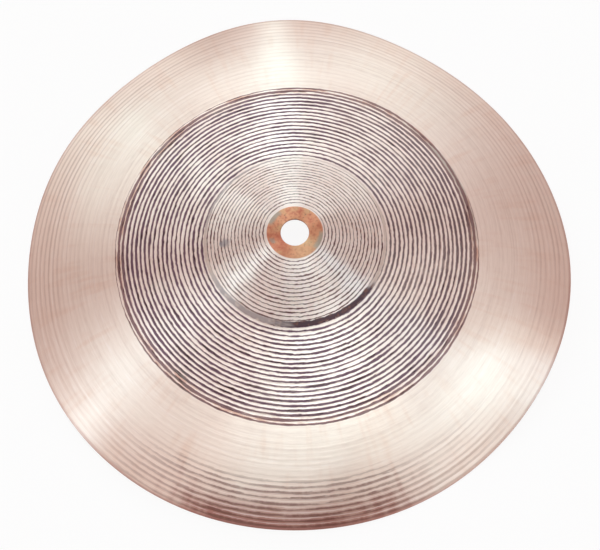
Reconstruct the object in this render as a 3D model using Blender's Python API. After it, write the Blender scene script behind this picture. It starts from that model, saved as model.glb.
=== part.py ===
"""A 10-inch splash cymbal: one turned and hammered bronze plate.

Metres, +Z up. The origin is on the axis of the centre hole, level with the
lowest point of the rim, so the cymbal stands rim down on z = 0.

The plate is one piece of metal, as the real one is. From the centre outwards
it has a hole, a flat raw ring where the felts grip it, a low bell, a crease,
a band with coarse lathe grooves, and a plain outer bow that falls to a
hand-hammered, slightly waved rim.
"""

import math

import bmesh
import bpy

# Diameters, from the rim inwards
CYMBAL_DIAMETER = 0.254
BAND_DIAMETER = 0.166
BELL_DIAMETER = 0.090
SEAT_DIAMETER = 0.025
HOLE_DIAMETER = 0.0127

# Heights that the top surface falls through, from the raw ring outwards
BELL_HEIGHT = 0.0113
BAND_DROP = 0.0050
BOW_DROP = 0.0142

# How steeply the surface falls at each station, as fall over distance
SEAT_EDGE_SLOPE = 0.16
CREASE_SLOPE = 0.09
BAND_EDGE_SLOPE = 0.15
RIM_SLOPE = 0.50

# The sheet is thickest at the bell and thins out to the rim
BELL_THICKNESS = 0.0010
RIM_THICKNESS = 0.0006
RIM_ROUNDING = 0.00022
HOLE_CHAMFER = 0.00025
RAW_STEP = 0.00012
RAW_STEP_WIDTH = 0.0002

# Spiral lathe grooves: the pitch of one turn, the depth of cut, and whether
# the spiral opens clockwise seen from above
BELL_GROOVE_PITCH = 0.00162
BELL_GROOVE_DEPTH = 0.00010
BAND_GROOVE_PITCH = 0.00204
BAND_GROOVE_DEPTH = 0.00018
BELL_OPENS_CLOCKWISE = True
BAND_OPENS_CLOCKWISE = False

# Plain lands that the tool leaves: under the raw ring, from the bell's last
# groove to the edge of the bell, and in the crease between the two spirals
BELL_TOP_LAND = 0.0009
BELL_FOOT_LAND = 0.0062
CREASE_LAND = 0.0035

# The waves that hammering leaves in the outer bow: lobes round the rim,
# height of a crest, and the direction of the first crest in degrees from +X
RIM_WAVES = (
    (3, 0.0032, -14.0),
    (4, 0.0020, -15.0),
    (6, 0.0012, -26.0),
)
WAVE_START_DIAMETER = 0.160
WAVE_GROWTH = 1.4
OUT_OF_ROUND = 0.0006
OUT_OF_ROUND_LOBES = 3
OUT_OF_ROUND_ANGLE = -16.0

# Facets round the plate, and rows of facets across each plain stretch
SEGMENTS = 54
BELL_ROWS = 6
CREASE_ROWS = 2
BAND_ROWS = 4
BOW_ROWS = 7

BRONZE_COLOUR = (0.80, 0.66, 0.52, 1.0)
BRONZE_ROUGHNESS = 0.32

CYMBAL_RADIUS = CYMBAL_DIAMETER / 2
BAND_RADIUS = BAND_DIAMETER / 2
BELL_RADIUS = BELL_DIAMETER / 2
SEAT_RADIUS = SEAT_DIAMETER / 2
HOLE_RADIUS = HOLE_DIAMETER / 2
TOP_SIDE = 0.0
UNDERSIDE = 1.0


def profile_stations():
    """Radius, height and slope of the top surface where one stretch meets the next."""
    seat_height = BELL_HEIGHT + BAND_DROP + BOW_DROP
    crease_height = BAND_DROP + BOW_DROP
    return (
        (SEAT_RADIUS, seat_height, -SEAT_EDGE_SLOPE),
        (BELL_RADIUS, crease_height, -CREASE_SLOPE),
        (BAND_RADIUS, BOW_DROP, -BAND_EDGE_SLOPE),
        (CYMBAL_RADIUS, 0.0, -RIM_SLOPE),
    )


def top_profile(radius):
    """Height and slope of the smooth top surface, a chain of cubic curves."""
    stations = profile_stations()
    if radius <= stations[0][0]:
        return stations[0][1], 0.0
    inner, outer = stations[-2], stations[-1]
    for first, second in zip(stations, stations[1:]):
        if radius <= second[0]:
            inner, outer = first, second
            break
    span = outer[0] - inner[0]
    t = (radius - inner[0]) / span
    height = (
        (2 * t**3 - 3 * t**2 + 1) * inner[1]
        + (t**3 - 2 * t**2 + t) * span * inner[2]
        + (3 * t**2 - 2 * t**3) * outer[1]
        + (t**3 - t**2) * span * outer[2]
    )
    slope = (
        6 * (t**2 - t) * (inner[1] - outer[1]) / span
        + (3 * t**2 - 4 * t + 1) * inner[2]
        + (3 * t**2 - 2 * t) * outer[2]
    )
    return height, slope


def thickness(radius):
    """Sheet thickness, full under the raw ring and tapering to the rim."""
    share = (radius - SEAT_RADIUS) / (CYMBAL_RADIUS - SEAT_RADIUS)
    share = min(max(share, 0.0), 1.0)
    return BELL_THICKNESS + (RIM_THICKNESS - BELL_THICKNESS) * share


def wave(radius, angle):
    """Height that the hammered wave adds, nothing inside its start and full at the rim."""
    start = WAVE_START_DIAMETER / 2
    if radius <= start:
        return 0.0
    share = ((radius - start) / (CYMBAL_RADIUS - start)) ** WAVE_GROWTH
    total = 0.0
    for lobes, height, direction in RIM_WAVES:
        total += height * math.cos(lobes * (angle - math.radians(direction)))
    return share * total


def stretch(radius, angle):
    """Small change of radius that leaves the rim a little out of round."""
    start = WAVE_START_DIAMETER / 2
    if radius <= start:
        return 0.0
    share = (radius - start) / (CYMBAL_RADIUS - start)
    turn = OUT_OF_ROUND_LOBES * (angle - math.radians(OUT_OF_ROUND_ANGLE))
    return OUT_OF_ROUND * share * math.cos(turn)


def surface_point(radius, angle, depth_share, cut=0.0):
    """A point of the plate: 0 is the top, 1 the underside, and cut sinks it below them."""
    height, slope = top_profile(radius)
    wall = thickness(radius) * math.hypot(1.0, slope)
    raised = RAW_STEP if radius <= SEAT_RADIUS and depth_share == TOP_SIDE else 0.0
    reach = radius + stretch(radius, angle)
    z = height + wave(radius, angle) - wall * depth_share - cut + raised
    return (reach * math.cos(angle), reach * math.sin(angle), z)


def ring(bm, radius, depth_share, cut=0.0):
    """One closed row of vertices round the plate."""
    angles = [math.tau * i / SEGMENTS for i in range(SEGMENTS)]
    return [bm.verts.new(surface_point(radius, a, depth_share, cut)) for a in angles]


def bridge(bm, inner, outer):
    """Quads between two neighbouring rows."""
    for i in range(SEGMENTS):
        j = (i + 1) % SEGMENTS
        bm.faces.new((inner[i], outer[i], outer[j], inner[j]))


def even_steps(start, end, count):
    """Radii that step evenly from start, left out, to end."""
    return [start + (end - start) * k / count for k in range(1, count + 1)]


def add_rings(bm, last, radii, depth_share):
    """Adds plain rows after the last one and returns the newest."""
    for radius in radii:
        row = ring(bm, radius, depth_share)
        bridge(bm, last, row)
        last = row
    return last


def add_spiral(bm, inner_row, inner_radius, outer_radius, pitch, depth, clockwise):
    """Cuts one unbroken spiral groove into the top between two radii.

    The tool moves out by one pitch in each turn, so the crest and the valley
    that it leaves are two long rows. The crest of one turn borders the valley
    of the turn before. The first crest starts on the inner ring and the last
    one runs out on the outer ring, which is returned.
    """
    turns = max(2, round((outer_radius - inner_radius) / pitch) - 1)
    step = (outer_radius - inner_radius) / (turns + 1)
    way = -1 if clockwise else 1
    outer_row = ring(bm, outer_radius, TOP_SIDE)
    inner = [inner_row[way * i % SEGMENTS] for i in range(SEGMENTS)]
    outer = [outer_row[way * i % SEGMENTS] for i in range(SEGMENTS)]
    end = turns * SEGMENTS
    crest = [inner[0]]
    for n in range(1, end + SEGMENTS):
        angle = way * math.tau * n / SEGMENTS
        radius = inner_radius + step * n / SEGMENTS
        crest.append(bm.verts.new(surface_point(radius, angle, TOP_SIDE)))
    crest.append(outer[0])
    valley = []
    for n in range(end + 1):
        angle = way * math.tau * n / SEGMENTS
        radius = inner_radius + step * (n / SEGMENTS + 0.5)
        run_in = min(1.0, 2 * (n + 1) / SEGMENTS, 2 * (end + 1 - n) / SEGMENTS)
        valley.append(bm.verts.new(surface_point(radius, angle, TOP_SIDE, depth * run_in)))
    for n in range(end):
        bm.faces.new((crest[n], valley[n], valley[n + 1], crest[n + 1]))
        over = n + SEGMENTS
        bm.faces.new((valley[n], crest[over], crest[over + 1], valley[n + 1]))
    for i in range(1, SEGMENTS - 1):
        bm.faces.new((inner[i], crest[i], crest[i + 1], inner[i + 1]))
    last = SEGMENTS - 1
    bm.faces.new((inner[0], crest[1], inner[1]))
    bm.faces.new((inner[last], crest[last], crest[SEGMENTS], valley[0], inner[0]))
    for i in range(1, last):
        bm.faces.new((crest[end + i], outer[i], outer[i + 1], crest[end + i + 1]))
    bm.faces.new((crest[end], valley[end], outer[0], outer[1], crest[end + 1]))
    bm.faces.new((crest[end + last], outer[last], outer[0]))
    return outer_row


def build_plate():
    """The whole plate as one closed mesh, built from the hole outwards and back."""
    bm = bmesh.new()
    hole_top = ring(bm, HOLE_RADIUS + HOLE_CHAMFER, TOP_SIDE)
    seat_edge = ring(bm, SEAT_RADIUS, TOP_SIDE)
    bridge(bm, hole_top, seat_edge)
    step_radii = [SEAT_RADIUS + RAW_STEP_WIDTH, SEAT_RADIUS + BELL_TOP_LAND]
    row = add_rings(bm, seat_edge, step_radii, TOP_SIDE)
    bell_end = BELL_RADIUS - BELL_FOOT_LAND
    crease_end = bell_end + CREASE_LAND
    row = add_spiral(
        bm,
        row,
        SEAT_RADIUS + BELL_TOP_LAND,
        bell_end,
        BELL_GROOVE_PITCH,
        BELL_GROOVE_DEPTH,
        BELL_OPENS_CLOCKWISE,
    )
    row = add_rings(bm, row, even_steps(bell_end, crease_end, CREASE_ROWS), TOP_SIDE)
    row = add_spiral(
        bm,
        row,
        crease_end,
        BAND_RADIUS,
        BAND_GROOVE_PITCH,
        BAND_GROOVE_DEPTH,
        BAND_OPENS_CLOCKWISE,
    )
    rounding_start = CYMBAL_RADIUS - RIM_ROUNDING
    row = add_rings(bm, row, even_steps(BAND_RADIUS, rounding_start, BOW_ROWS), TOP_SIDE)

    # Rounded rim, down the outside of the sheet
    for depth_share in (0.25, 0.75):
        edge = ring(bm, CYMBAL_RADIUS, depth_share)
        bridge(bm, row, edge)
        row = edge

    # Underside, back from the rim to the hole
    under = ring(bm, rounding_start, UNDERSIDE)
    bridge(bm, row, under)
    radii = even_steps(rounding_start, BAND_RADIUS, BOW_ROWS)
    radii += even_steps(BAND_RADIUS, BELL_RADIUS, BAND_ROWS)
    radii += even_steps(BELL_RADIUS, bell_end, CREASE_ROWS)
    radii += even_steps(bell_end, SEAT_RADIUS, BELL_ROWS)
    radii.append(HOLE_RADIUS + HOLE_CHAMFER)
    row = add_rings(bm, under, radii, UNDERSIDE)

    # Hole wall with its two small chamfers
    chamfer_share = HOLE_CHAMFER / BELL_THICKNESS
    for depth_share in (1.0 - chamfer_share, chamfer_share):
        wall = ring(bm, HOLE_RADIUS, depth_share)
        bridge(bm, row, wall)
        row = wall
    bridge(bm, row, hole_top)

    lowest = min(v.co.z for v in bm.verts)
    bmesh.ops.translate(bm, verts=bm.verts, vec=(0.0, 0.0, -lowest))
    bmesh.ops.recalc_face_normals(bm, faces=bm.faces)
    return bm


def bronze():
    material = bpy.data.materials.new("cymbal_bronze")
    material.use_nodes = True
    shader = material.node_tree.nodes["Principled BSDF"]
    shader.inputs["Base Color"].default_value = BRONZE_COLOUR
    shader.inputs["Metallic"].default_value = 1.0
    shader.inputs["Roughness"].default_value = BRONZE_ROUGHNESS
    return material


def main():
    for obj in list(bpy.data.objects):
        bpy.data.objects.remove(obj, do_unlink=True)
    bm = build_plate()
    mesh = bpy.data.meshes.new("cymbal_plate")
    bm.to_mesh(mesh)
    bm.free()
    mesh.shade_smooth()
    mesh.set_sharp_from_angle(angle=math.radians(35))
    mesh.materials.append(bronze())
    plate = bpy.data.objects.new("cymbal_plate", mesh)
    bpy.context.scene.collection.objects.link(plate)


main()
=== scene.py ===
# %% [markdown]
# # A splash cymbal, dressed over its CAD frame
#
# A cymbal is one plate of bronze. It is cast, hammered to shape and then turned
# on a lathe, and the tool leaves the fine spiral lines that give it its sheen.
# This lesson rebuilds that plate as a fine mesh with Geometry Nodes, and
# finishes it with one procedural bronze.
#
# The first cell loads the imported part. It is a fixed frame in metres: the
# origin is on the axis of the hole, level with the lowest point of the rim.

# %% Load the frame
import math
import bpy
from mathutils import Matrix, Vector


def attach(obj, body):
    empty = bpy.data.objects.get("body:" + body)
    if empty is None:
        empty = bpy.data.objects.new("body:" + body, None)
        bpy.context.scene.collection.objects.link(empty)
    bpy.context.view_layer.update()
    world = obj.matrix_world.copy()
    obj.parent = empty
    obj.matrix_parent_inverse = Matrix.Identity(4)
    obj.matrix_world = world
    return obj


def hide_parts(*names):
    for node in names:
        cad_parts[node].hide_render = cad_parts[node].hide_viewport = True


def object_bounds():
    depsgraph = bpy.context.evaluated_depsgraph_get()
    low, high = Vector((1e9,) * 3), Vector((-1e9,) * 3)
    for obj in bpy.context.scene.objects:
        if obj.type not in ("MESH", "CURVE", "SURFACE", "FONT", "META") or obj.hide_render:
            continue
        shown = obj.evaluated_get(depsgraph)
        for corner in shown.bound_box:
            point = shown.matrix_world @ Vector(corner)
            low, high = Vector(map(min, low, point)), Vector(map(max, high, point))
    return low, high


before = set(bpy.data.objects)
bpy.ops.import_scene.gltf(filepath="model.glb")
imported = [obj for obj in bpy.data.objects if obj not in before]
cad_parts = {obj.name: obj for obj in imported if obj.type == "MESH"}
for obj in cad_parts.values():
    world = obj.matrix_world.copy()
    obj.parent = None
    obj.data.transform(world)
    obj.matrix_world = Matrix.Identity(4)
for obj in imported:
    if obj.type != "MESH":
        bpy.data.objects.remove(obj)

from types import SimpleNamespace

import bpy
from mathutils import Vector

cad_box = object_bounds()
print("CAD box", [tuple(round(c, 4) for c in corner) for corner in cad_box])

# %% [markdown]
# ## Sizes
#
# Everything on the plate follows a few radii and heights. The radii of the rim,
# band, bell, raw ring and hole, the falls between them, the thicknesses, the
# wave and the pitches of bell and band repeat the CAD plate's, so that the
# dressed plate lies on the solid one. The depth and exact reach of the grooves,
# the band's lean, the crease's shift and the hammer marks are finer than the
# solid's. The sizes stay in one table, because the same names become the inputs
# of the Geometry Nodes tree later on. Lengths are in metres, and directions are
# in degrees: from above, 0 is right, 90 is the rear and -90 the front.

# %% Sizes of the plate
SIZES = {
    "rim_radius": 0.127,
    "band_radius": 0.083,
    "bell_radius": 0.045,
    "seat_radius": 0.0125,
    "hole_radius": 0.00635,
    "bell_height": 0.0113,
    "band_drop": 0.0050,
    "bow_drop": 0.0142,
    "bell_thickness": 0.0010,
    "rim_thickness": 0.0006,
    "raw_step": 0.00012,
    "crease_radius": 0.0410,
    "crease_shift": 0.0013,
    "crease_land": 0.00075,
    "crease_swell": 0.00045,
    "bell_groove_start": 0.0134,
    "bell_groove_pitch": 0.00162,
    "bell_groove_depth": 0.00005,
    "band_groove_end": 0.0832,
    "band_groove_lean": 0.0009,
    "band_groove_pitch": 0.00204,
    "band_groove_depth": 0.00009,
    "bow_groove_gap": 0.0006,
    "bow_groove_end": 0.1262,
    "bow_groove_pitch": 0.00226,
    "bow_groove_depth": 0.00002,
    "under_groove_pitch": 0.0036,
    "under_groove_depth": 0.00004,
    "wave_start": 0.080,
    "out_of_round": 0.0006,
    "hammer_depth": 0.00005,
}
SEAT_EDGE_SLOPE = 0.16
CREASE_SLOPE = 0.09
BAND_EDGE_SLOPE = 0.15
RIM_SLOPE = 0.50
RIM_WAVES = ((3, 0.0032, -14.0), (4, 0.0020, -15.0), (6, 0.0012, -26.0))
WAVE_GROWTH = 1.4
OUT_OF_ROUND_LOBES = 3
OUT_OF_ROUND_ANGLE = -16.0
HAND_SEED = 7.0
RAW_EDGE = 0.0002

size = SimpleNamespace(**SIZES)
drop = size.bell_height + size.band_drop + size.bow_drop
rim_level = cad_box[1].z - size.raw_step - drop
print("mean rim level", round(rim_level * 1000, 2), "mm above the lowest point")

# %% [markdown]
# ## Writing node maths as Python
#
# A plate that follows a rule needs a lot of arithmetic in nodes. Wiring Math
# nodes by hand hides the formula, so a small class wraps a socket and turns
# Python's operators into Math nodes. Any other node comes from one method of
# the tree's own wrapper. Geometry Nodes and shaders share the Math node, so a
# formula written once serves both.

# %% The tree wrapper
class Tree:
    """A node tree under construction."""

    def __init__(self, tree):
        self.tree = tree

    def add(self, kind, settings=None, values=None, output=0):
        """Adds a node: its type, its settings, then the values or links of its sockets."""
        node = self.tree.nodes.new(kind)
        for name, setting in (settings or {}).items():
            setattr(node, name, setting)
        for name, item in (values or {}).items():
            if isinstance(item, Value):
                self.tree.links.new(item.socket, node.inputs[name])
            else:
                node.inputs[name].default_value = item
        return Value(self, node.outputs[output]) if node.outputs else node


print("tree wrapper ready")

# %% The socket wrapper
class Value:
    """A number, vector or colour flowing through a tree, with Python's operators."""

    def __init__(self, tree, socket):
        self.tree = tree
        self.socket = socket

    def beside(self, name):
        """Another output of the node that this value comes from."""
        return Value(self.tree, self.socket.node.outputs[name])

    def math(self, operation, *others):
        """A Math node that takes this value first."""
        numbers = dict(enumerate((self, *others)))
        return self.tree.add("ShaderNodeMath", {"operation": operation}, numbers)

    def reflected(self, operation, first):
        """A Math node that takes this value second."""
        return self.tree.add("ShaderNodeMath", {"operation": operation}, {0: first, 1: self})

    def __add__(self, other):
        return self.math("ADD", other)

    def __sub__(self, other):
        return self.math("SUBTRACT", other)

    def __mul__(self, other):
        return self.math("MULTIPLY", other)

    def __truediv__(self, other):
        return self.math("DIVIDE", other)

    def __pow__(self, other):
        return self.math("POWER", other)

    def __neg__(self):
        return self.math("MULTIPLY", -1.0)

    def __radd__(self, other):
        return self.reflected("ADD", other)

    def __rsub__(self, other):
        return self.reflected("SUBTRACT", other)

    def __rmul__(self, other):
        return self.reflected("MULTIPLY", other)


print("socket wrapper ready")

# %% [markdown]
# ## Masks and hand wobble
#
# A few helpers keep the formulas short. A mask is a number from 0 to 1, and a
# Map Range node makes one. Hand work is uneven, so two kinds of noise are
# needed: one that spreads evenly over the plate, like hammer blows, and one
# that is long round the plate and short across it, like a tool that drifts.
# The second reads the cosine and sine of the angle, so it has no seam.

# %% Helpers for both kinds of tree
def ramp(value, start, end, low=0.0, high=1.0, style="LINEAR"):
    """Carries a value from one range to another, and stops at both ends."""
    return value.tree.add(
        "ShaderNodeMapRange",
        {"interpolation_type": style},
        {"Value": value, "From Min": start, "From Max": end, "To Min": low, "To Max": high},
    )


def mask(value, start, end):
    """0 before start, 1 after end, and a soft step between them."""
    return ramp(value, start, end, style="SMOOTHSTEP")


def band(value, start, end, softness):
    """1 between start and end, and soft steps outside them."""
    return mask(value, start - softness, start) * (1 - mask(value, end, end + softness))


def even_noise(tree, place, scale, seed, detail=2.0):
    """Noise of about -1 to 1 that spreads evenly. Scale is in features a metre."""
    noise = tree.add(
        "ShaderNodeTexNoise",
        {"noise_dimensions": "4D"},
        {"Vector": place, "W": seed, "Scale": scale, "Detail": detail},
    )
    return (noise - 0.5) * 4


def drift_noise(tree, radius, angle, arcs, across, seed, detail=1.0):
    """Noise of about -1 to 1 drawn out round the plate: arcs a turn, and features a metre across."""
    place = tree.add(
        "ShaderNodeCombineXYZ",
        values={
            "X": angle.math("COSINE") * (arcs / math.tau),
            "Y": angle.math("SINE") * (arcs / math.tau),
            "Z": radius * across,
        },
    )
    return even_noise(tree, place, 1.0, seed, detail)


print("helpers ready")

# %% [markdown]
# ## The turned profile
#
# A lathe makes a surface from one profile. Here the profile is a chain of
# three cubic curves between four stations: the edge of the raw ring, the
# crease, the end of the coarse band and the rim. Each station has a height and
# a slope, so neighbouring curves meet without a kink. Every stretch adds only
# its own fall, so the sum works for any radius. A curve through many measured
# points would do too, but four stations are easier to change.
#
# The outer bow isn't flat all round. Hammering has left it in a slow wave that
# grows towards the rim, and a little out of round.

# %% Profile and wave
def profile(radius, size):
    """Height of the smooth top surface at a radius."""
    foot = rim_level + size.band_drop + size.bow_drop
    stations = (
        (size.seat_radius, foot + size.bell_height, SEAT_EDGE_SLOPE),
        (size.bell_radius, foot, CREASE_SLOPE),
        (size.band_radius, rim_level + size.bow_drop, BAND_EDGE_SLOPE),
        (size.rim_radius, rim_level, RIM_SLOPE),
    )
    height = stations[0][1]
    for (start, top, first_slope), (end, bottom, last_slope) in zip(stations, stations[1:]):
        span = end - start
        t = ramp(radius, start, end)
        fall = top - bottom
        first = first_slope * span
        last = last_slope * span
        bend = 3 * fall - 2 * first - last
        twist = first + last - 2 * fall
        height = height - t * (first + t * (bend + t * twist))
    return height


def wave_share(radius, size):
    """How much of the wave there is at a radius: none at its start, all at the rim."""
    return ramp(radius, size.wave_start, size.rim_radius)


def wave(radius, angle, size):
    """Height that the hammered wave adds."""
    total = 0.0
    for lobes, height, direction in RIM_WAVES:
        turn = (angle - math.radians(direction)) * lobes
        total = turn.math("COSINE") * height + total
    return total * wave_share(radius, size) ** WAVE_GROWTH


def stretch(radius, angle, size):
    """Change of radius that leaves the rim a little out of round."""
    turn = (angle - math.radians(OUT_OF_ROUND_ANGLE)) * OUT_OF_ROUND_LOBES
    return turn.math("COSINE") * wave_share(radius, size) * size.out_of_round


print("profile falls", round(drop * 1000, 1), "mm from the raw ring to the rim")

# %% [markdown]
# ## The lathe's spiral
#
# The tool moves out by one pitch in each turn, so a groove is a spiral and not
# a set of rings. The number of pitches passed, less the share of the turn,
# tells where a point lies between two cuts: a whole number is the crest that
# the tool has left, and a half is the middle of the cut.
#
# A round-nosed tool digs a shallow bowl-shaped groove. Where it presses harder
# the groove gets deeper and wider, and the strip left between two grooves, the
# land, gets narrower. Lands keep the dark skin of the casting, so the colour
# needs the same formula as the shape. One function gives both.
#
# Bell, band and bow were each turned in a pass of their own. The bell's spiral
# runs the other way round, and the bow's is only a light scrape. Bell and band
# stop short of each other, at a crease that runs a little off centre. The band
# reaches a little further out on the near right, and its lands get broader
# outwards. The underside has one wide spiral, without a hand's unevenness.

# %% Lands and grooves
PASSES = {
    "bell": SimpleNamespace(hand=1, cut=0.75, uneven=0.16, narrows=0.0, crest=0.0134, seed=1),
    "band": SimpleNamespace(hand=-1, cut=0.62, uneven=0.22, narrows=0.08, crest=0.0454, seed=2),
    "bow": SimpleNamespace(hand=-1, cut=0.62, uneven=0.14, narrows=0.0, crest=0.0832, seed=3),
}
BAND_LEANS_TO = -54.0
LANDS_WIDEN_FROM = 0.055
DRIFT = 0.00014
CHATTER = 0.00012
LEAST_CUT = 0.12
PASS_FADE = 0.0003
UNDER_ZONE = (0.014, 0.125, 0.001)


def crease(angle, size):
    """Middle and half width of the strip that the tool skipped. It runs a little off centre."""
    rear = angle.math("SINE")
    return rear * size.crease_shift + size.crease_radius, size.crease_land - rear * size.crease_swell


def band_end(angle, size):
    """Radius where the coarse band stops. It reaches furthest on the near right."""
    turn = (angle - math.radians(BAND_LEANS_TO)).math("COSINE")
    return turn * size.band_groove_lean + size.band_groove_end


def worked_zone(walked, angle, size, name):
    """1 where a pass of the tool has been."""
    middle, half = crease(angle, size)
    end = band_end(angle, size)
    limits = {
        "bell": (size.bell_groove_start, middle - half),
        "band": (middle + half, end),
        "bow": (end + size.bow_groove_gap, size.bow_groove_end),
    }
    return band(walked, *limits[name], PASS_FADE)


def spiral(radius, angle, size, name, ragged=0.0):
    """How deep the tool dug (0 to about 1), how far it is past the cut, and the zone it worked in."""
    tree = radius.tree
    tool = PASSES[name]
    pitch = getattr(size, name + "_groove_pitch")
    seed = HAND_SEED + tool.seed
    drift = drift_noise(tree, radius, angle, arcs=9.0, across=70.0, seed=seed)
    chatter = drift_noise(tree, radius, angle, arcs=34.0, across=300.0, seed=seed + 10)
    press = drift_noise(tree, radius, angle, arcs=30.0, across=430.0, seed=seed + 20, detail=2.0)
    walked = radius + drift * DRIFT + chatter * CHATTER + ragged
    phase = (walked - tool.crest) / pitch + angle * (tool.hand / math.tau)
    from_cut = 1 - 2 * phase.math("PINGPONG", 0.5)
    outward = ramp(radius, LANDS_WIDEN_FROM, size.band_radius)
    reach = (press * tool.uneven - outward * tool.narrows + tool.cut).math("MAXIMUM", LEAST_CUT)
    dug = (reach * reach - from_cut * from_cut).math("MAXIMUM", 0.0) / tool.cut**2
    return dug, from_cut - reach, worked_zone(walked, angle, size, name)


def under_spiral(radius, angle, size):
    """The underside's one wide spiral: 0 on its crests and 1 in its hollows, and the zone it lies in."""
    turned = (radius - size.seat_radius) / size.under_groove_pitch * math.tau + angle
    zone = band(radius, *UNDER_ZONE)
    return (1 - turned.math("COSINE")) * 0.5 * zone, zone


print("passes of the tool:", ", ".join(PASSES))

# %% [markdown]
# ## The bronze's colours
#
# The face has five zones. The hole sits in a raw ring of mottled copper skin.
# The bell alternates bright cuts with thin red-brown lands. A strip of skin is
# left in the crease at the bell's foot. The coarse band has broad violet lands,
# worn to copper where it ends, and the outer bow is bright, turned metal with
# light lines, rosier towards the rim and painted browner at the front of the rim
# as painted shade. The underside is a sixth.
# Each zone could have a material of its own. But their borders are worn and
# wander, so one material finds every zone by formula.
#
# The colours are written as linear light. Everything is metal, so a colour is
# also the tint of what the metal mirrors. The grooves spread light across
# themselves and not along themselves, which the shader's anisotropy does: a
# quarter turn lays the spread across them. The bell is a little rougher.

# %% Colours and roughness
BRIGHT_BRONZE = (0.89, 0.765, 0.680, 1.0)
ROSE_BRONZE = (0.85, 0.68, 0.595, 1.0)
PALE_BRONZE = (0.86, 0.78, 0.69, 1.0)
FRESH_CUT = (0.98, 0.88, 0.83, 1.0)
LINE_BROWN = (0.31, 0.150, 0.122, 1.0)
COPPER_TINT = (0.74, 0.45, 0.32, 1.0)
WORN_COPPER = (0.60, 0.33, 0.24, 1.0)
# The next two colours paint shade on the rim's front. The first also tints the thin line round the very
# rim.
RIM_BROWN_AND_FRONT_SHADE = (0.44, 0.21, 0.175, 1.0)
FRONT_SHADED_LINE = (0.17, 0.078, 0.065, 1.0)
BELL_LAND = (0.135, 0.052, 0.052, 1.0)
EDGE_BROWN = (0.34, 0.17, 0.150, 1.0)
LAND_VIOLET = (0.215, 0.130, 0.170, 1.0)
LAND_DARK = (0.085, 0.046, 0.056, 1.0)
LAND_GREY = (0.25, 0.185, 0.185, 1.0)
LAND_GREEN = (0.24, 0.24, 0.20, 1.0)
GREY_SKIN = (0.36, 0.295, 0.305, 1.0)
SMUDGE_GREY = (0.30, 0.30, 0.34, 1.0)
PURPLE_SKIN = (0.075, 0.036, 0.052, 1.0)
BROWN_SKIN = (0.22, 0.095, 0.070, 1.0)
RAW_COPPER = (0.84, 0.43, 0.26, 1.0)
RAW_RED = (0.64, 0.20, 0.13, 1.0)
RAW_GOLD = (0.74, 0.56, 0.32, 1.0)
RAW_GREY = (0.46, 0.45, 0.39, 1.0)
# Dark specks of the skin, and the painted shadow on the hole's wall.
RAW_DARK_AND_HOLE_SHADOW = (0.24, 0.13, 0.10, 1.0)
TURNED_ROUGHNESS = 0.37
BELL_ROUGHNESS = 0.46
SKIN_ROUGHNESS = 0.50
ANISOTROPY = 1.0
ACROSS_GROOVES = 0.25

print("bright bronze reflects", BRIGHT_BRONZE[:3])

# %% Mixing colours
def mix(factor, first, second, blend="MIX"):
    """Mixes two colours, each a tuple or a wrapped socket."""
    return factor.tree.add(
        "ShaderNodeMix",
        {"data_type": "RGBA", "blend_type": blend},
        {0: factor, 6: first, 7: second},
        2,
    )


def towards(at, degrees):
    """1 in one direction from the axis, and -1 opposite."""
    return (at.angle - math.radians(degrees)).math("COSINE")


print("mixing ready")

# %% [markdown]
# ### Places and noises
#
# A finish this busy reads best zone by zone. Each zone is a function that takes
# the colour found so far and lays its own over it. All of them ask for the same
# places and noises, so these are made once and handed in together as "at".
#
# The place comes from Object coordinates, as a radius and an angle. The
# out-of-round rim is taken back out of the radius, so that every painted line
# lies on its groove in the mesh. Fine lines, bundles, scrapes, grain and short
# strokes are drawn out round the plate. Mottle, patches and a quick flicker
# spread evenly.
#
# A named pair of radii or heights says where a mark starts and where it is
# full. The plain numbers in the formulas are strengths and thresholds, tuned
# against the photograph.

# %% Places and noises
TOP_SURFACE = (-0.0004, -0.0002)
RAGGED_QUICK = 0.00010
RAGGED_GRAIN = 0.00018


def places(tree):
    """Where a point lies on the plate, and the noises that the zones share."""
    place = tree.add("ShaderNodeTexCoord", output="Object")
    x = tree.add("ShaderNodeSeparateXYZ", values={0: place})
    y = x.beside("Y")
    angle = y.math("ARCTAN2", x)
    reach = (x * x + y * y).math("SQRT")
    radius = reach - stretch(reach, angle, size)
    flat = tree.add("ShaderNodeCombineXYZ", values={"X": x, "Y": y})
    above = x.beside("Z") - profile(radius, size) - wave(radius, angle, size)

    def drawn_out(arcs, across, seed, detail=1.0):
        """Noise drawn out round the plate."""
        return drift_noise(tree, radius, angle, arcs, across, HAND_SEED + seed, detail)

    def spread(scale, seed, detail):
        """Noise that spreads evenly."""
        return even_noise(tree, flat, scale, HAND_SEED + seed, detail)

    at = SimpleNamespace(tree=tree, x=x, y=y, radius=radius, angle=angle, flat=flat)
    at.top = mask(above, *TOP_SURFACE)
    at.fine = drawn_out(arcs=4.0, across=800.0, seed=3, detail=3.0)
    at.bundle = drawn_out(arcs=3.0, across=190.0, seed=4, detail=2.0)
    at.scrape = drawn_out(arcs=32.0, across=480.0, seed=7, detail=2.0)
    at.grain = drawn_out(arcs=130.0, across=1500.0, seed=12)
    at.strokes = drawn_out(arcs=220.0, across=40.0, seed=14)
    at.mottle = spread(scale=45.0, seed=5, detail=4.0)
    at.patches = spread(scale=24.0, seed=11, detail=2.0)
    at.quick = spread(scale=420.0, seed=8, detail=2.0)
    at.ragged = at.quick * RAGGED_QUICK + at.grain * RAGGED_GRAIN
    return at


print("places ready")

# %% [markdown]
# ### Turned metal
#
# Where the lathe has been, the bronze is bright. Hairlines from the tool's edge
# run round it, and handling has left faint coppery and pale clouds. A painted
# image could hold all that, but noise that is drawn out round the plate fits a
# cymbal of any size.

# %% Turned metal
ROSIER = (0.098, 0.124)


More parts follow.
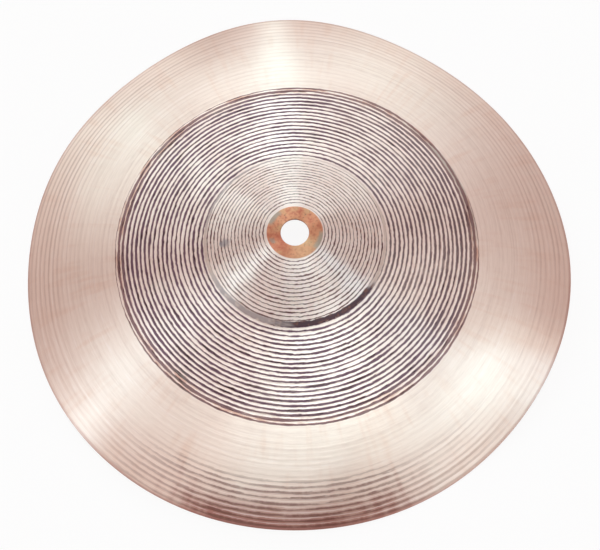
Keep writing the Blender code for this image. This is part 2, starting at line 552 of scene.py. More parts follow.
def turned_metal(at):
    """Bright metal with the fine lines of the tool, rosier towards the rim."""
    rimward = mask(at.radius + at.mottle * 0.002, *ROSIER)
    colour = mix(rimward, BRIGHT_BRONZE, ROSE_BRONZE)
    coppery = mask(at.mottle + at.strokes * 0.8, -0.1, 1.4)
    colour = mix(coppery * 0.26, colour, COPPER_TINT)
    pale = mask(-at.mottle - at.patches * 0.6 - at.strokes * 0.4, 0.1, 1.4)
    colour = mix(pale * 0.35, colour, PALE_BRONZE)
    lines = at.fine * (0.6 + at.bundle * 0.3)
    dark_lines = mask(lines + at.grain * 0.3, -0.2, 1.0)
    colour = mix(dark_lines * 0.20, colour, LINE_BROWN)
    bright_lines = mask(-lines - at.grain * 0.4, 0.0, 1.0)
    return mix(bright_lines * 0.52, colour, FRESH_CUT), lines


print("turned metal is rosier from", ROSIER[0] * 1000, "mm outwards")

# %% [markdown]
# ### The outer bow
#
# The last pass on the bow is only a light scrape, so its lines are faint. They
# bunch together towards the rim, and on two opposite sides they are darker. On
# both sides of the front the dark lines are painted fainter, as a painted
# highlight. At the front itself the rim is painted browner and its lines darker,
# as painted shade. The lines could be a noise of their own. They come from the
# spiral's formula instead, so that they lie on the grooves of the mesh, and soft
# masks by direction and radius weaken them.

# %% Painted front shade
FRONT = -94.0
FRONT_SHADE_REACH = (0.107, 0.124)
FRONT_SHADE_RIM = (0.1195, 0.1250)


def front_shade_masks(at):
    """Painted shade at the front: where its lines are darker, where its rim is browner, and how broken
    both are.
    """
    front = towards(at, FRONT)
    lined = mask(front + at.mottle * 0.03, 0.66, 0.97)
    brown = mask(front + at.mottle * 0.04 + at.strokes * 0.02, 0.86, 0.98)
    broken = mask(at.mottle * 0.6 + at.quick * 0.5 + at.scrape * 0.6, -0.9, 0.6)
    return lined, brown, broken


def paint_front_shade(at, colour, brown, broken):
    """Painted shade on the rim's front, brown and strongest at the very rim."""
    rimward = mask(at.radius + at.bundle * 0.002 + at.mottle * 0.003, *FRONT_SHADE_REACH)
    outermost = mask(at.radius + at.scrape * 0.0008, *FRONT_SHADE_RIM) * 0.30
    strength = brown * rimward * at.top * (0.48 + broken * 0.25 + outermost)
    return mix(strength, colour, RIM_BROWN_AND_FRONT_SHADE)


# Painted shade: the rim is painted browner towards this direction.
print("the rim is browned towards", FRONT, "degrees")

# %% Outer bow
# Sides where a painted highlight washes the bow's lines out.
PAINTED_SHEEN_SIDES = (-28.0, -148.0)
DARKER_SIDE = 142.5
LINES_GROW = (0.100, 0.121)
FRONT_LINES_GROW = (0.102, 0.115)
RIM_EDGE = (0.1256, 0.1266)
LAND_EDGE = (-0.08, 0.10)


def outer_bow(at, colour):
    """The light last pass of the tool, over the painted shade at the front."""
    _, past, zone = spiral(at.radius, at.angle, size, "bow", at.quick * RAGGED_QUICK)
    worked = zone * at.top
    lined, brown, broken = front_shade_masks(at)
    colour = paint_front_shade(at, colour, brown, broken)

    rimward = mask(at.radius + at.bundle * 0.004, *LINES_GROW)
    edgeward = mask(at.radius + at.bundle * 0.003 + at.mottle * 0.002, *FRONT_LINES_GROW)
    bright = mask(at.grain * 0.12 - past, 0.34, 0.56) * worked
    # Bright line edges grow towards the rim. At the front they are painted stronger, as a painted
    # highlight beside the painted shade.
    colour = mix(bright * (rimward * 0.15 + lined * edgeward * 0.30), colour, FRESH_CUT)

    two_sides = (at.angle * 2 - math.radians(2 * DARKER_SIDE)).math("COSINE") * (1 - lined)
    bunched = rimward * (0.11 + at.bundle * 0.10 + mask(two_sides, 0.3, 1.0) * 0.12)
    strength = (0.07 + at.bundle * 0.04 + bunched).math("MAXIMUM", 0.0)
    # Painted highlight: towards these sides, where the sheen falls, the dark lines are painted fainter.
    for direction in PAINTED_SHEEN_SIDES:
        painted_sheen = mask(towards(at, direction), 0.90, 0.985)
        strength = strength * (1 - painted_sheen * 0.75)
    colour = mix(mask(past, *LAND_EDGE) * worked * strength, colour, LINE_BROWN)

    # Painted shade: at the front the lines are painted broad and dark.
    wide = mask(past + at.fine * 0.25 + at.scrape * 0.30 + at.grain * 0.25, -0.12, 0.12)
    deep = lined * edgeward * (0.30 + brown * 0.40) * (0.4 + broken * 0.6)
    colour = mix(wide * worked * deep, colour, FRONT_SHADED_LINE)
    # A thin brown line runs round the very rim.
    edge = mask(at.radius + at.scrape * 0.0003, *RIM_EDGE)
    return mix(edge * 0.50, colour, RIM_BROWN_AND_FRONT_SHADE)


# Painted highlight: the bow's lines are painted fainter towards these sides.
print("the bow is polished towards", PAINTED_SHEEN_SIDES, "degrees")

# %% [markdown]
# ### Lands of the bell and the band
#
# Between two cuts the skin of the casting is left standing as a land. The
# bell's lands are thin and red-brown, and a little worn at the rear. The band's
# are broad and violet, greyer on the right, with copper where the tool only
# scraped them, and they are worn warm where the band ends. Each land could be
# a strip of its own mesh. It is cheaper to colour it by how far it lies past
# the cut, and then slow noise can fade it and quick noise can blot it.

# %% Lands of the bell
WORN_REAR = 100.0


def bell_lands(at, colour):
    """Thin dark lands with reddish edges, between cuts with a breath of copper."""
    _, past, zone = spiral(at.radius, at.angle, size, "bell", at.ragged)
    worked = zone * at.top
    land = mask(past, *LAND_EDGE) * worked
    colour = mix((1 - land) * worked * 0.85, colour, FRESH_CUT)
    copper = mask(at.mottle + at.quick * 0.6 + at.scrape * 0.4, -0.5, 1.2)
    colour = mix(copper * worked * 0.22, colour, COPPER_TINT)
    edge = mask(past + at.scrape * 0.15, -0.24, 0.05) * worked
    colour = mix(edge * 0.16, colour, EDGE_BROWN)
    worn = mask(towards(at, WORN_REAR), 0.0, 1.0) * 0.20
    dark = land * ramp(at.patches + at.scrape * 0.6, -1.2, 0.4, 0.74, 1.0) * (1 - worn)
    return mix(dark, colour, BELL_LAND), dark


print("the bell's lands are worn towards", WORN_REAR, "degrees")

# %% Lands of the band
GREYER_RIGHT = 12.0
SMEARED = 22.0
OUTER_LANDS = (0.055, 0.080)
WORN_END = (-0.0060, -0.0010)
SMEAR = (-0.0024, -0.0004, 0.0005)
BROWN_EDGE = (-0.16, 0.02, 0.08)


def land_skin(at, end_wear):
    """The skin on the band's lands: violet, greyer on the right, with green and dark blots."""
    greyed = mask(towards(at, GREYER_RIGHT) * 0.9 + at.patches * 0.4, 0.1, 1.0)
    skin = mix(greyed * 0.75, LAND_VIOLET, LAND_GREY)
    skin = mix(end_wear * 0.45, skin, EDGE_BROWN)
    skin = mix(mask(at.mottle - at.patches * 0.4, 0.3, 1.1) * 0.6, skin, LAND_GREEN)
    blot = mask(at.scrape * 0.9 + at.grain * 0.8 + at.quick * 0.4 - greyed * 0.4, 0.0, 0.9)
    return mix(blot, skin, LAND_DARK)


def band_lands(at, colour):
    """Broad lands with brown edges, worn where the band ends and smeared on the right."""
    _, past, zone = spiral(at.radius, at.angle, size, "band", at.ragged)
    worked = zone * at.top
    from_end = at.radius - band_end(at.angle, size)
    end_wear = mask(from_end + at.mottle * 0.001, *WORN_END)
    land = mask(past + end_wear * (0.10 + at.scrape * 0.10), *LAND_EDGE)
    colour = mix((1 - land) * worked * (0.60 - end_wear * 0.3), colour, FRESH_CUT)

    copper = mask(at.scrape + at.grain * 0.5 + end_wear * 0.7, 0.3, 1.2)
    warm = mix(end_wear, COPPER_TINT, WORN_COPPER)
    colour = mix(copper * (0.20 + end_wear * 0.55) * worked, colour, warm)
    edge = band(past, *BROWN_EDGE) * worked
    outward = mask(at.radius, *OUTER_LANDS)
    colour = mix(edge * (0.28 + outward * 0.15 + end_wear * 0.25), colour, EDGE_BROWN)

    smear = band(from_end + at.scrape * 0.0005, *SMEAR) * at.top
    smear = smear * mask(towards(at, SMEARED), 0.86, 0.98)
    streaked = mix(mask(at.scrape + at.quick * 0.5, -0.5, 0.8), LAND_GREEN, EDGE_BROWN)
    colour = mix(smear * 0.45, colour, streaked)

    faded = mask(at.patches + at.grain * 0.5, 0.1, 1.4) * 0.45
    dark = land * worked * (1 - faded) * (1 - end_wear * 0.12)
    return mix(dark, colour, land_skin(at, end_wear)), dark


print("the band's lands are greyer towards", GREYER_RIGHT, "degrees")

# %% [markdown]
# ### The crease
#
# Bell and band were turned in two passes that don't quite meet, so a strip of
# skin is left between them. It is dark purple on the near right, grey on the
# near left and a little at the rear left, and nearly worn away elsewhere. It
# could be a ring of its own, but it is the same sheet of metal, so it is a
# stripe in the same material.

# %% Crease
PURPLE_SIDE = -68.0
GREY_SIDE = -125.0
GREY_REAR = 132.0
SKIN_EDGE = (-0.0002, 0.0002)


def crease_skin(at, colour):
    """The strip that the tool skipped: purple on the near right, grey on the near left."""
    middle, half = crease(at.angle, size)
    off = (at.radius - middle + at.scrape * 0.0003 + at.quick * 0.0003).math("ABSOLUTE") - half
    strip = (1 - mask(off, *SKIN_EDGE)) * at.top
    patch = mask(towards(at, PURPLE_SIDE) + at.scrape * 0.06, 0.78, 0.90)
    near = mask(towards(at, GREY_SIDE), 0.74, 0.94)
    rear = mask(towards(at, GREY_REAR), 0.72, 0.95)
    purple = mix(mask(at.quick + at.scrape * 0.7, 0.0, 0.9), PURPLE_SKIN, BROWN_SKIN)
    skin = mix(mask(at.quick * 0.7 + at.scrape * 0.5, 0.0, 1.0) * 0.6, GREY_SKIN, ROSE_BRONZE)
    skin = mix(patch, skin, purple)
    strength = strip * (0.20 + patch * 0.75 + near * (1 - patch) * 0.55 + rear * 0.40)
    return mix(strength, colour, skin), strength


print("the crease is purple towards", PURPLE_SIDE, "degrees")

# %% [markdown]
# ### The raw ring
#
# The lathe's clamp covered the metal round the hole, so the skin of the casting
# is left there: copper and red, with gold, grey and dark specks. An image would
# show that mottle at one size only. Three sizes of noise make it here, as
# clouds, blotches and specks. The wall of the hole is painted dark as painted
# shadow, and a bright line round the ring's edge is a painted highlight.

# %% Raw ring
CLOUDS, BLOTCHES, SPECKS = 120.0, 260.0, 900.0
RED_SIDE = -140.0
GOLD_SIDE = -60.0
GREY_ENDS = ((-22.0, 0.90), (140.0, 0.92))
GREY_FULL = 0.98
GREY_REACH = (0.0098, 0.0114)
HOLE_WALL_SHADOW = (0.00005, 0.0002)
EDGE_HIGHLIGHT = (0.0002, 0.0006, 0.0002)
RING_INSIDE = 0.0001


def mottle_of_the_ring(at, blotch):
    """Copper and red in fine patches, with clouds of gold and grey, and dark specks."""
    cloud = even_noise(at.tree, at.flat, CLOUDS, HAND_SEED + 13, detail=2.0)
    speck = even_noise(at.tree, at.flat, SPECKS, HAND_SEED + 9, detail=2.0)
    raw = mix(mask(blotch * 0.8 + speck * 0.7, -0.4, 0.9) * 0.9, RAW_COPPER, RAW_RED)
    raw = mix(mask(cloud - blotch * 0.4, 0.0, 0.7) * 0.55, raw, RAW_GOLD)
    raw = mix(mask(-cloud - blotch * 0.3, 0.5, 0.9) * 0.8, raw, RAW_GREY)
    return mix(mask(speck - blotch * 0.5, 0.4, 1.1) * 0.7, raw, RAW_DARK_AND_HOLE_SHADOW)


def raw_ring(at, colour):
    """The skin round the hole, redder on the near left and golden on the near right, with painted shadow
    in the hole and a painted highlight round the ring's edge.
    """
    ring = 1 - mask(at.radius, size.seat_radius - RING_INSIDE, size.seat_radius + RAW_EDGE)
    blotch = even_noise(at.tree, at.flat, BLOTCHES, HAND_SEED + 6, detail=3.0)
    raw = mottle_of_the_ring(at, blotch)
    raw = mix(mask(towards(at, RED_SIDE) + blotch * 0.5, 0.3, 1.3) * 0.5, raw, RAW_RED)
    raw = mix(mask(towards(at, GOLD_SIDE) + blotch * 0.5, 0.4, 1.3) * 0.45, raw, RAW_GOLD)
    grey = 0.0
    for direction, start in GREY_ENDS:
        grey = mask(towards(at, direction), start, GREY_FULL) + grey
    grey = grey * mask(at.radius + blotch * 0.0008, *GREY_REACH)
    raw = mix(grey * 0.75, raw, RAW_GREY)
    # Painted shadow: the hole's wall is painted dark.
    wall_shadow = 1 - mask(at.radius - size.hole_radius, *HOLE_WALL_SHADOW)
    raw = mix(wall_shadow * 0.6, raw, RAW_DARK_AND_HOLE_SHADOW)
    # Painted highlight: a bright line round the edge of the raw ring.
    edge_highlight = band(at.radius - size.seat_radius, *EDGE_HIGHLIGHT)
    colour = mix(edge_highlight * at.top * 0.8, colour, FRESH_CUT)
    return mix(ring, colour, raw), ring


print("the raw ring is", round((size.seat_radius - size.hole_radius) * 1000, 2), "mm wide")

# %% [markdown]
# ### A smudge, and the underside
#
# One small grey smear lies on the left of the bell. It is a soft ellipse whose
# distance is roughened by noise, because a smear has no clean outline.
#
# The underside is out of sight in use. It is turned in one wide spiral, with
# brown crests, and it is duller in the hollow of the bell. The material knows
# the back by its depth below the smooth top surface, so one material serves
# both sides, and nothing from the face shows through.

# %% Smudge and underside
SMUDGE_PLACE = (-0.0320, -0.0006)
SMUDGE_SIZE = (0.0026, 0.0020)
BELL_HOLLOW = (0.040, 0.047)


def smudge(at, colour):
    """A small grey smear on the left of the bell."""
    across = (at.x - SMUDGE_PLACE[0]) / SMUDGE_SIZE[0]
    along = (at.y - SMUDGE_PLACE[1]) / SMUDGE_SIZE[1]
    distance = (across * across + along * along).math("SQRT") + at.quick * 0.4
    return mix((1 - mask(distance, 0.5, 1.3)) * at.top * 0.6, colour, SMUDGE_GREY)


def underside(at, colour):
    """The back, turned in one wide spiral, and duller in the hollow of the bell."""
    below = 1 - at.top
    hollow, zone = under_spiral(at.radius + at.bundle * 0.0002, at.angle, size)
    crest = mask(at.scrape * 0.12 + at.fine * 0.08 - hollow, -0.30, -0.02)
    colour = mix(crest * zone * below * 0.45, colour, LINE_BROWN)
    bright = mask(hollow + at.fine * 0.15, 0.55, 1.0)
    colour = mix(bright * below * 0.45, colour, FRESH_CUT)
    bell = 1 - mask(at.radius + at.mottle * 0.002, *BELL_HOLLOW)
    colour = mix(bell * below * (0.30 + at.scrape * 0.10), colour, COPPER_TINT)
    aged = mask(at.mottle + at.patches * 0.5, 0.0, 1.4)
    return mix(aged * below * 0.35, colour, EDGE_BROWN)


print("smudge at", [round(c * 1000, 1) for c in SMUDGE_PLACE], "mm")

# %% [markdown]
# ### The whole bronze
#
# The zones come together in one material, the face and the back first and the
# narrow zones on top. Skin is rougher than turned metal, so the roughness and a
# faint bump follow the same masks as the colours.

# %% Bronze
SMOOTHER = (0.040, 0.046)
LINE_HEIGHT = 0.00002
SKIN_HEIGHT = 0.000012
GRAIN_HEIGHT = 0.000006


def bronze():
    """The whole plate's finish."""
    material = bpy.data.materials.new("turned_bronze")
    material.use_nodes = True
    material.node_tree.nodes.clear()
    tree = Tree(material.node_tree)
    at = places(tree)
    colour, lines = turned_metal(at)
    colour = outer_bow(at, colour)
    colour = underside(at, colour)
    colour, bell_dark = bell_lands(at, colour)
    colour, band_dark = band_lands(at, colour)
    colour, strip = crease_skin(at, colour)
    colour = smudge(at, colour)
    colour, ring = raw_ring(at, colour)

    skin = (band_dark + bell_dark * 0.5 + strip + ring).math("MINIMUM", 1.0)
    turned = ramp(at.radius, *SMOOTHER, BELL_ROUGHNESS, TURNED_ROUGHNESS)
    roughness = turned + skin * (SKIN_ROUGHNESS - turned) + at.mottle * 0.02
    height = lines * (1 - skin) * LINE_HEIGHT
    height = height + at.quick * skin * SKIN_HEIGHT + at.grain * GRAIN_HEIGHT
    bump = tree.add("ShaderNodeBump", values={"Distance": 1.0, "Height": height})
    shader = tree.add(
        "ShaderNodeBsdfPrincipled",
        values={
            "Base Color": colour,
            "Metallic": 1.0,
            "Roughness": roughness,
            "Anisotropic": ANISOTROPY,
            "Anisotropic Rotation": ACROSS_GROOVES,
            "Normal": bump,
        },
    )
    tree.add("ShaderNodeOutputMaterial", values={"Surface": shader})
    return material


turned_bronze = bronze()
print(turned_bronze.name, "has", len(turned_bronze.node_tree.nodes), "nodes")

# %% [markdown]
# ## The plate as a Geometry Nodes tree
#
# The plate is round and thin, so one closed outline can be swept round the
# axis: over the top from the hole to the rim, round the edge, back along the
# underside and up the hole's wall. A grid is the simplest start. Its columns
# become steps round the axis and its rows become places along that outline.
#
# A route lists the stretches of the outline: how many rows each one takes, the
# radius where it ends, and how deep in the sheet it ends, from 0 for the top
# to 1 for the underside. Grooved stretches get the most rows.

# %% Route along the outline
SEGMENTS = 190
BELL_ROWS_A_PITCH = 6
BAND_ROWS_A_PITCH = 8
BOW_ROWS_A_PITCH = 5
RIM_ROUNDING = 0.00022
HOLE_CHAMFER = 0.00025
CHAMFER_SHARE = 0.25
SEAT_ROWS = 4
UNDER_ROWS_A_PITCH = 4
UNDER_SEAT_ROWS = 3
RIM_BEND = 0.25


def turns(start, end, pitch):
    """Whole turns of a spiral between two radii."""
    return round((end - start) / pitch)


bell_turns = turns(size.bell_groove_start, size.crease_radius, size.bell_groove_pitch)
band_limit = size.band_groove_end + size.band_groove_lean
band_turns = turns(size.crease_radius, band_limit, size.band_groove_pitch)
bow_turns = turns(band_limit, size.bow_groove_end, size.bow_groove_pitch)
under_turns = turns(size.seat_radius, size.rim_radius, size.under_groove_pitch)


def route(size):
    """Stretches of the outline as (rows, radius at the end, depth at the end)."""
    return (
        (1, size.hole_radius + HOLE_CHAMFER, 0.0),
        (SEAT_ROWS, size.seat_radius, 0.0),
        (1, size.seat_radius + RAW_EDGE, 0.0),
        (1, size.bell_groove_start, 0.0),
        (BELL_ROWS_A_PITCH * bell_turns, size.crease_radius, 0.0),
        (BAND_ROWS_A_PITCH * band_turns, size.band_groove_end + size.band_groove_lean, 0.0),
        (BOW_ROWS_A_PITCH * bow_turns, size.bow_groove_end, 0.0),
        (1, size.rim_radius - RIM_ROUNDING, 0.0),
        (1, size.rim_radius, RIM_BEND),
        (1, size.rim_radius, 1.0 - RIM_BEND),
        (1, size.rim_radius - RIM_ROUNDING, 1.0),
        (UNDER_ROWS_A_PITCH * under_turns, size.seat_radius, 1.0),
        (UNDER_SEAT_ROWS, size.hole_radius + HOLE_CHAMFER, 1.0),
        (1, size.hole_radius, 1.0 - CHAMFER_SHARE),
        (1, size.hole_radius, CHAMFER_SHARE),
    )


row_count = sum(stretch_rows for stretch_rows, _, _ in route(size))
print(SEGMENTS, "segments by", row_count, "rows make", 2 * SEGMENTS * row_count, "triangles")

# %% [markdown]
# The tree turns a grid into the plate. Every size is a named input of the tree,
# so the plate's sizes are set on its modifier without touching a node. The
# height of a point is the profile, plus the wave and the hammer marks, less the
# sheet's thickness and the cut of the tool.
#
# The grid's own UV map is stored before the seam is merged: U runs along the
# grooves and V across them, the way the lathe's lines lie.

# %% Inputs, and places along the route
def named_inputs(tree):
    """Adds the sizes as inputs of the tree and returns them as wrapped sockets."""
    interface = tree.tree.interface
    interface.new_socket("Plate", in_out="OUTPUT", socket_type="NodeSocketGeometry")
    interface.new_socket("segments", in_out="INPUT", socket_type="NodeSocketInt")
    for name in SIZES:
        interface.new_socket(name, in_out="INPUT", socket_type="NodeSocketFloat")
    entry = tree.add("NodeGroupInput").socket.node
    return SimpleNamespace(**{s.name: Value(tree, s) for s in entry.outputs if s.name})


def along_route(row, size):
    """Radius and depth at a row, each a sum of the stretches that the row has passed."""
    radius = size.hole_radius
    depth = CHAMFER_SHARE
    last_radius, last_depth, passed = radius, depth, 0
    for rows, end_radius, end_depth in route(size):
        share = ramp(row, float(passed), float(passed + rows))
        radius = share * (end_radius - last_radius) + radius
        if end_depth != last_depth:
            depth = share * (end_depth - last_depth) + depth
        last_radius, last_depth, passed = end_radius, end_depth, passed + rows
    return radius, depth


print("the tree has", len(SIZES) + 1, "named inputs")

# %% Height of the sheet
SLOPE_STEP = 0.0005
HAMMER_MARKS_A_METRE = 70.0
HAMMERED = (0.048, 0.122, 0.004)
TOP_SIDE = (0.0, 0.1)
UNDER_SIDE = (0.9, 1.0)


def at_place(radius, angle, height=0.0):
    """A point from its radius, angle and height."""
    x = angle.math("COSINE") * radius
    y = angle.math("SINE") * radius
    return radius.tree.add("ShaderNodeCombineXYZ", values={"X": x, "Y": y, "Z": height})


def upright_wall(radius, smooth, size):
    """Upright thickness of the sheet, which makes it even when measured square to the slope."""
    slope = (profile(radius + SLOPE_STEP, size) - smooth) / SLOPE_STEP
    taper = ramp(radius, size.seat_radius, size.rim_radius, size.bell_thickness, size.rim_thickness)
    return taper * (slope * slope + 1).math("SQRT")


def hammer_marks(radius, angle, size):
    """Shallow dents all over the band and the bow."""
    dents = even_noise(radius.tree, at_place(radius, angle), HAMMER_MARKS_A_METRE, HAND_SEED + 9)
    return dents * size.hammer_depth * band(radius, *HAMMERED)


def lathe_work(radius, angle, depth, size):
    """The grooves of the top and of the underside, and the raw ring that the tool never cut."""
    top = 1 - mask(depth, *TOP_SIDE)
    under = mask(depth, *UNDER_SIDE)
    cut = 0.0
    for name in PASSES:
        dug, _, zone = spiral(radius, angle, size, name)
        cut = dug * zone * getattr(size, name + "_groove_depth") + cut
    raised = (1 - mask(radius, size.seat_radius, size.seat_radius + RAW_EDGE)) * size.raw_step
    hollow, _ = under_spiral(radius, angle, size)
    return top * (raised - cut) + under * hollow * size.under_groove_depth


print("hammer marks from", HAMMERED[0] * 1000, "to", HAMMERED[1] * 1000, "mm")

# %% The plate's tree
SEAM = 0.000001


def plate_tree():
    """The tree that makes the plate."""
    tree = Tree(bpy.data.node_groups.new("cymbal_plate", "GeometryNodeTree"))
    size = named_inputs(tree)
    rows = {"Vertices X": size.segments + 1, "Vertices Y": row_count + 1}
    grid = tree.add("GeometryNodeMeshGrid", values={"Size X": 1.0, "Size Y": 1.0, **rows})
    spot = tree.add("ShaderNodeSeparateXYZ", values={0: tree.add("GeometryNodeInputPosition")})
    angle = (spot + 0.5) * math.tau
    radius, depth = along_route((spot.beside("Y") + 0.5) * row_count, size)

    smooth = profile(radius, size)
    height = smooth + wave(radius, angle, size) + hammer_marks(radius, angle, size)
    height = height - upright_wall(radius, smooth, size) * depth
    height = height + lathe_work(radius, angle, depth, size)
    position = at_place(radius + stretch(radius, angle, size), angle, height)
    mesh = tree.add(
        "GeometryNodeStoreNamedAttribute",
        {"data_type": "FLOAT2", "domain": "CORNER"},
        {"Geometry": grid, "Name": "UVMap", "Value": grid.beside("UV Map")},
    )
    mesh = tree.add("GeometryNodeSetPosition", values={"Geometry": mesh, "Position": position})
    mesh = tree.add("GeometryNodeMergeByDistance", values={"Geometry": mesh, "Distance": SEAM})
    mesh = tree.add("GeometryNodeFlipFaces", values={"Mesh": mesh})
    mesh = tree.add("GeometryNodeSetShadeSmooth", values={0: mesh})
    mesh = tree.add("GeometryNodeRealizeInstances", values={"Geometry": mesh})
    finish = {"Geometry": mesh, "Material": turned_bronze}
    tree.add("NodeGroupOutput", values={0: tree.add("GeometryNodeSetMaterial", values=finish)})
    return tree.tree


plate_group = plate_tree()
print("the plate's tree has", len(plate_group.nodes), "nodes")

# %% [markdown]
# A modifier on an empty mesh runs the tree. Its inputs are set by the sockets'
# identifiers before the object is first evaluated, and the result is then kept
# as a plain mesh, so nothing is left to recompute.

# %% Grow the plate
def grow(name, group, inputs):
    """Runs a tree on an empty object and keeps what it makes as a plain mesh."""
    piece = bpy.data.objects.new(name, bpy.data.meshes.new(name))
    bpy.context.scene.collection.objects.link(piece)
    modifier = piece.modifiers.new("grow", "NODES")
    modifier.node_group = group
    for item in group.interface.items_tree:
        if item.in_out == "INPUT":
            modifier[item.identifier] = inputs[item.name]
    graph = bpy.context.evaluated_depsgraph_get()
    made = bpy.data.meshes.new_from_object(piece.evaluated_get(graph))
    piece.modifiers.remove(modifier)
    piece.data = made
    made.name = name
    return piece


plate = grow("bronze_plate", plate_group, {"segments": SEGMENTS, **SIZES})
corners = [Vector(corner) for corner in plate.bound_box]
spans = [round((max(c[i] for c in corners) - min(c[i] for c in corners)) * 1000, 2) for i in range(3)]
print(plate.name, "measures", spans, "mm with", len(plate.data.polygons), "faces")

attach(plate, "root")
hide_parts("cymbal_plate")

# %% [markdown]
# ## Floor and light
#
# The cymbal lies rim down on a plain pale floor. The floor shows white to the
# camera and in the metal, and a small share of it stays diffuse, which keeps
# the soft shadow.

# %% Floor
FLOOR_SIDE = 8.0
FLOOR_WHITE = (0.92, 0.92, 0.92, 1.0)
SHADOW_SHARE = 0.10


def floor_material():
    """White to the camera and in reflections, and a little matt paint that takes the shadow."""
    material = bpy.data.materials.new("studio_floor")
    material.use_nodes = True
    material.node_tree.nodes.clear()
    tree = Tree(material.node_tree)
    rays = tree.add("ShaderNodeLightPath").socket.node.outputs
    seen = Value(tree, rays["Is Camera Ray"])
    seen = seen + Value(tree, rays["Is Glossy Ray"]) + Value(tree, rays["Is Transmission Ray"])
    share = seen.math("MINIMUM", 1.0) * (1 - SHADOW_SHARE)
    paint = tree.add("ShaderNodeBsdfDiffuse", values={"Color": FLOOR_WHITE})
    glow = tree.add("ShaderNodeEmission", values={"Strength": 1.0})
    surface = tree.add("ShaderNodeMixShader", values={0: share, 1: paint, 2: glow})
    tree.add("ShaderNodeOutputMaterial", values={"Surface": surface})
    return material


half = FLOOR_SIDE / 2
floor_mesh = bpy.data.meshes.new("floor")
floor_mesh.from_pydata(
    [(-half, -half, 0.0), (half, -half, 0.0), (half, half, 0.0), (-half, half, 0.0)],
    [],
    [(0, 1, 2, 3)],
)
floor_mesh.materials.append(floor_material())
floor = bpy.data.objects.new("floor", floor_mesh)
bpy.context.scene.collection.objects.link(floor)
print("floor", FLOOR_SIDE, "m square")

# %% [markdown]
# Metal shows little of its own and much of the room, so the room matters more
# than any lamp. The studio is a tent with ten softboxes behind its cloth: a
# bright one overhead, and dimmer ones at the sides, at the back and at the front
# corners. Between them the cloth is a dim, rosy tan, and it is dark brown behind
# the camera, where the photographer stands. A photographed room could light
# the plate too, but a few soft boxes are easier to move.
#
# The grooves run round the plate and spread light across themselves, so every
# softbox draws out into a streak from the bell to the rim. The world shader
# says how bright the cloth is in each direction, with soft edges, and it goes
# pale towards the horizon.

# %% The tent and its softboxes
TENT_CLOTH = (0.54, 0.34, 0.29, 1.0)
TENT_FRONT = (0.26, 0.12, 0.09, 1.0)
HORIZON = (0.98, 0.98, 0.98, 1.0)
SOFTBOXES = (
    # Middle x and y, half width and height, softness, turn in degrees, glow
    ((0.03, -0.03), (0.15, 0.31), 0.045, 0.0, (3.80, 4.85, 5.00, 1.0)),
    ((-0.70, -0.06), (0.31, 0.19), 0.19, 0.0, (1.15, 1.54, 1.64, 1.0)),
    ((-0.90, -0.24), (0.12, 0.10), 0.07, 35.0, (1.05, 1.78, 2.10, 1.0)),
    ((0.65, -0.45), (0.32, 0.065), 0.03, 0.0, (1.00, 1.90, 2.28, 1.0)),
    ((0.84, -0.31), (0.18, 0.09), 0.06, -30.0, (0.70, 1.40, 1.80, 1.0)),
    ((0.09, 0.52), (0.30, 0.31), 0.04, 0.0, (0.48, 0.62, 0.70, 1.0)),
    ((-0.03, 0.85), (0.06, 0.085), 0.04, 0.0, (1.33, 2.40, 2.58, 1.0)),
    ((-0.47, 0.63), (0.064, 0.23), 0.11, 0.0, (2.10, 3.10, 3.20, 1.0)),
    ((0.35, 0.80), (0.12, 0.12), 0.08, 0.0, (0.25, 0.46, 0.44, 1.0)),
    ((0.34, -0.52), (0.14, 0.14), 0.08, 0.0, (0.50, 0.60, 0.50, 1.0)),
)
FRONT_SLANT = 0.41
FRONT_SIDES = (0.04, 0.14)
FRONT_START = (-0.12, -0.02)
HORIZON_FADE = (0.16, 0.22)


def softbox(x, y, middle, half_sides, soft, degrees):
    """1 inside a turned rectangle of sky, and soft at its edges."""
    turn = math.radians(degrees)
    from_x, from_y = x - middle[0], y - middle[1]
    along = (from_x * math.cos(turn) + from_y * math.sin(turn)).math("ABSOLUTE")
    across = (from_y * math.cos(turn) - from_x * math.sin(turn)).math("ABSOLUTE")
    inside = 1 - mask(along, half_sides[0] - soft, half_sides[0] + soft)
    return inside * (1 - mask(across, half_sides[1] - soft, half_sides[1] + soft))


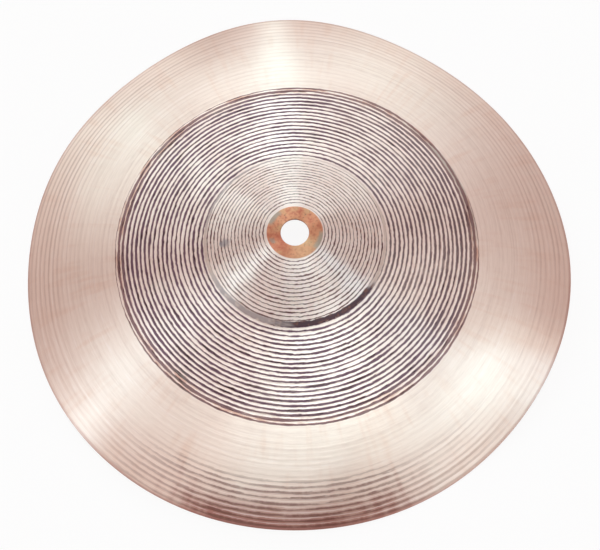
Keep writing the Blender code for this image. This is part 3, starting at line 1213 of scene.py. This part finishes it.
def tent():
    """A world whose light comes from the sides and the top of a cloth tent."""
    world = bpy.data.worlds.new("white_tent")
    world.use_nodes = True
    world.node_tree.nodes.clear()
    tree = Tree(world.node_tree)
    toward = tree.add("ShaderNodeTexCoord", output="Generated")
    x = tree.add("ShaderNodeSeparateXYZ", values={0: toward})
    y = x.beside("Y")
    z = x.beside("Z")
    light = TENT_CLOTH
    for middle, half_sides, soft, degrees, glow in SOFTBOXES:
        light = mix(softbox(x, y, middle, half_sides, soft, degrees), light, glow, "ADD")
    wedge = 1 - mask(x.math("ABSOLUTE") + y * FRONT_SLANT, *FRONT_SIDES)
    light = mix(wedge * (1 - mask(y, *FRONT_START)), light, TENT_FRONT)
    light = mix(1 - mask(z, *HORIZON_FADE), light, HORIZON)
    cloth = tree.add("ShaderNodeBackground", values={"Color": light, "Strength": 1.0})
    tree.add("ShaderNodeOutputWorld", values={"Surface": cloth})
    return world


bpy.context.scene.world = tent()
print("tent with", len(SOFTBOXES), "softboxes")

# %% [markdown]
# ## Camera
#
# The camera looks down from the front, 22 degrees off the vertical. Its place
# comes from how the circles of the plate turn into ellipses, and its distance
# from how much larger the near half looks than the far half.

# %% Camera
CAMERA_FROM_AXIS = Vector((0.0, -0.197995, 0.488939))
AIM_FROM_AXIS = Vector((0.001445, -0.014312, 0.0))
CAMERA_LENS = 69.0
CAMERA_ROLL = math.radians(-2.28)

band_centre = Vector((0.0, 0.0, rim_level + size.bow_drop))
lens = bpy.data.cameras.new("camera")
lens.sensor_width = 36.0
lens.lens = CAMERA_LENS
camera = bpy.data.objects.new("camera", lens)
camera.location = band_centre + CAMERA_FROM_AXIS
sight = (AIM_FROM_AXIS - CAMERA_FROM_AXIS).normalized()
camera.rotation_euler = sight.to_track_quat("-Z", "Y").to_euler()
camera.rotation_euler.rotate_axis("Z", CAMERA_ROLL)
bpy.context.scene.collection.objects.link(camera)
bpy.context.scene.camera = camera
print("camera", tuple(round(c, 3) for c in camera.location))

# %% [markdown]
# ## Finish
#
# The image is shown as plain colours, without a film curve.

# %% Finish
bpy.context.scene.view_settings.view_transform = "Standard"
